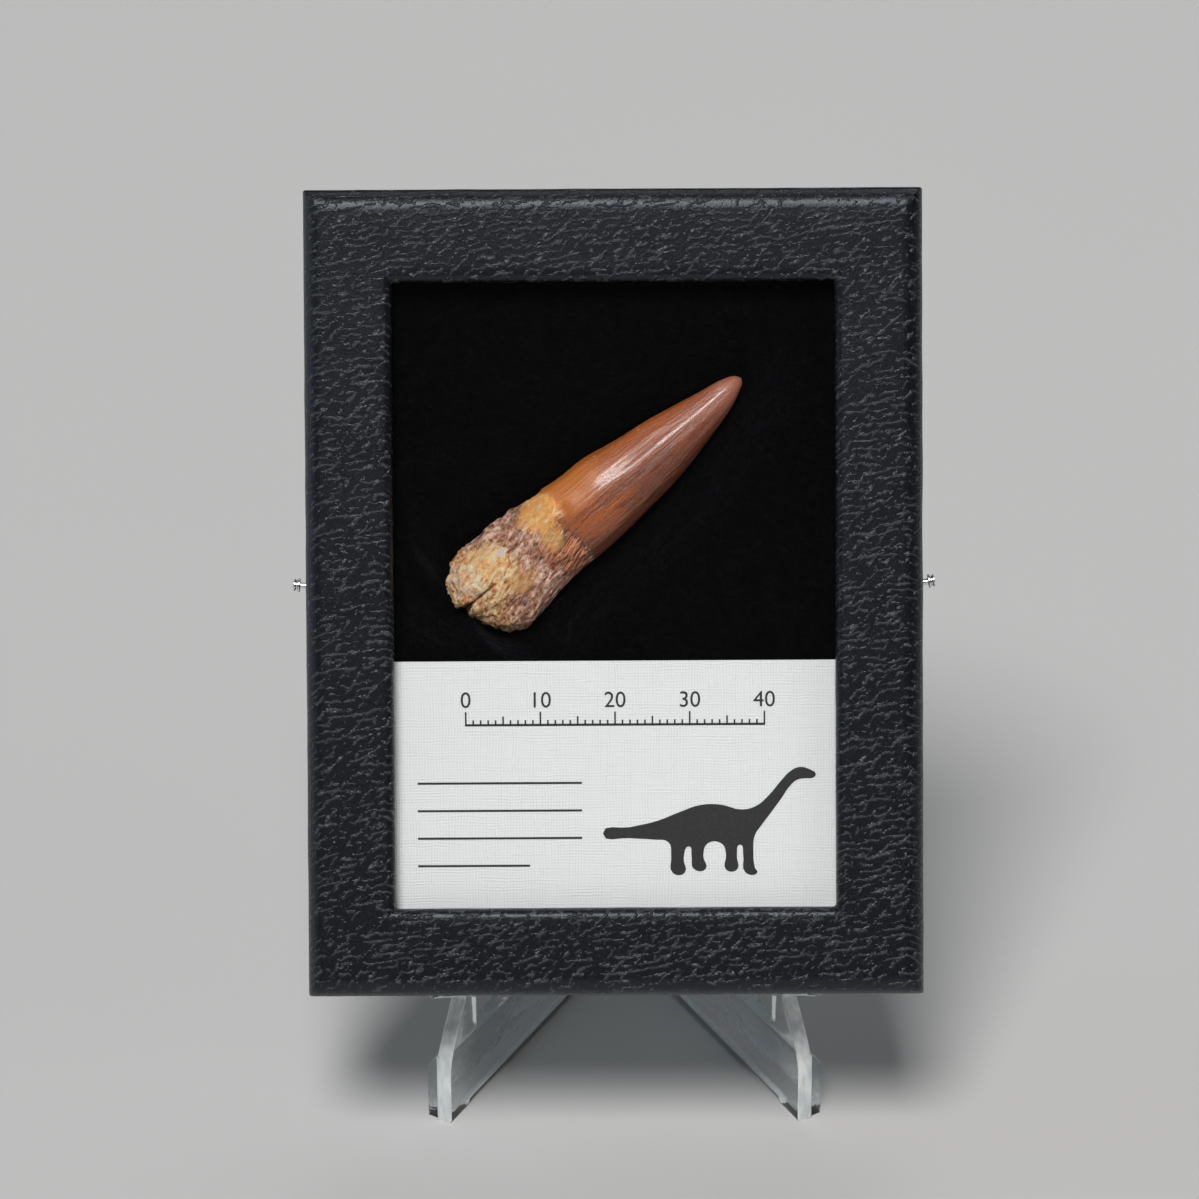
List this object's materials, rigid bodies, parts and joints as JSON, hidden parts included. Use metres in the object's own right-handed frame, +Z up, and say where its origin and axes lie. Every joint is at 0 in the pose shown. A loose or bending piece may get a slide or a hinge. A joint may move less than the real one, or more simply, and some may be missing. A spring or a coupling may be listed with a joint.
{
  "type": "spinosaurus tooth in a display case",
  "caption": "Fossil tooth pressed behind glass in a small black leatherette case with a white label card, leaning on a clear two-arm folding easel.",
  "frame": {"origin": "middle of the footprint on the surface that the easel stands on", "axes": "+Z up, the glass face looks towards -Y and leans back, +X to the viewer's right"},
  "size_m": [0.0868, 0.0684, 0.1263],
  "materials": {
    "black_leatherette": "fine morocco grain, satin",
    "clear_glass": "clear window glass",
    "black_paper": "paper-covered board, matte",
    "black_felt": "brushed black felt",
    "white_card": "linen-textured white card with dark grey print",
    "tooth_enamel": "glossy red-brown enamel over a rough ochre root",
    "pin_steel": "bright steel",
    "clear_plastic": "clear moulded plastic with frosted edges"
  },
  "bodies": {
    "root": {"case_lid": "black_leatherette", "glass_pane": "clear_glass", "case_tray": "black_paper", "padding": "black_felt", "label_card": "white_card", "tooth": "tooth_enamel", "pin_left": "pin_steel", "pin_right": "pin_steel", "stand_arm_left": "clear_plastic", "stand_arm_right": "clear_plastic", "stand_hinge_pin": "clear_plastic"}
  },
  "joints": []
}
